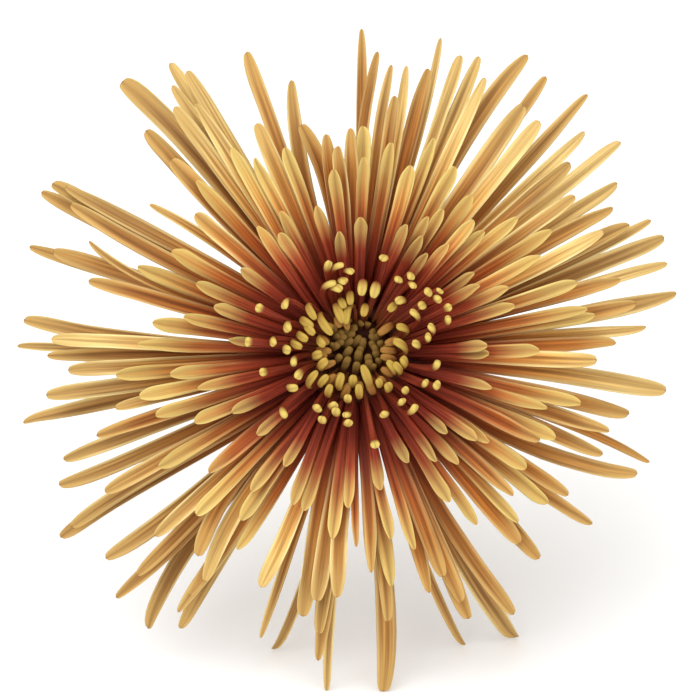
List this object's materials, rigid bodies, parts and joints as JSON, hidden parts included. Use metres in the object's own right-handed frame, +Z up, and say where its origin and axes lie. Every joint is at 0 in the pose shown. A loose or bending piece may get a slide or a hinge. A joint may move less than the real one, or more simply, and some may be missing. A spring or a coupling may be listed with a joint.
{
  "type": "spider chrysanthemum",
  "caption": "Cut bronze spider chrysanthemum lying on its side: layered quilled ray florets, incurved yellow centre, green involucre and a trimmed stem.",
  "frame": {"origin": "on the surface that the flower lies on, under the middle of its bounding box", "axes": "+Z up; the bloom faces -Y and is tilted up 30 degrees, and the stem runs back towards +Y"},
  "size_m": [0.1503, 0.1964, 0.1324],
  "materials": {
    "bronze_floret": "satin petal, maroon at the base through bronze orange to yellow margins and tips",
    "yellow_floret": "satin petal, olive brown in the eye to bright yellow club tips",
    "green_bract": "soft matt leaf green with papery brown edges",
    "green_stem": "ribbed, finely downy green stem, paler at the cut"
  },
  "bodies": {
    "root": {"ray_florets": "bronze_floret", "centre_florets": "yellow_floret", "involucre": "green_bract", "stem": "green_stem"}
  },
  "joints": []
}
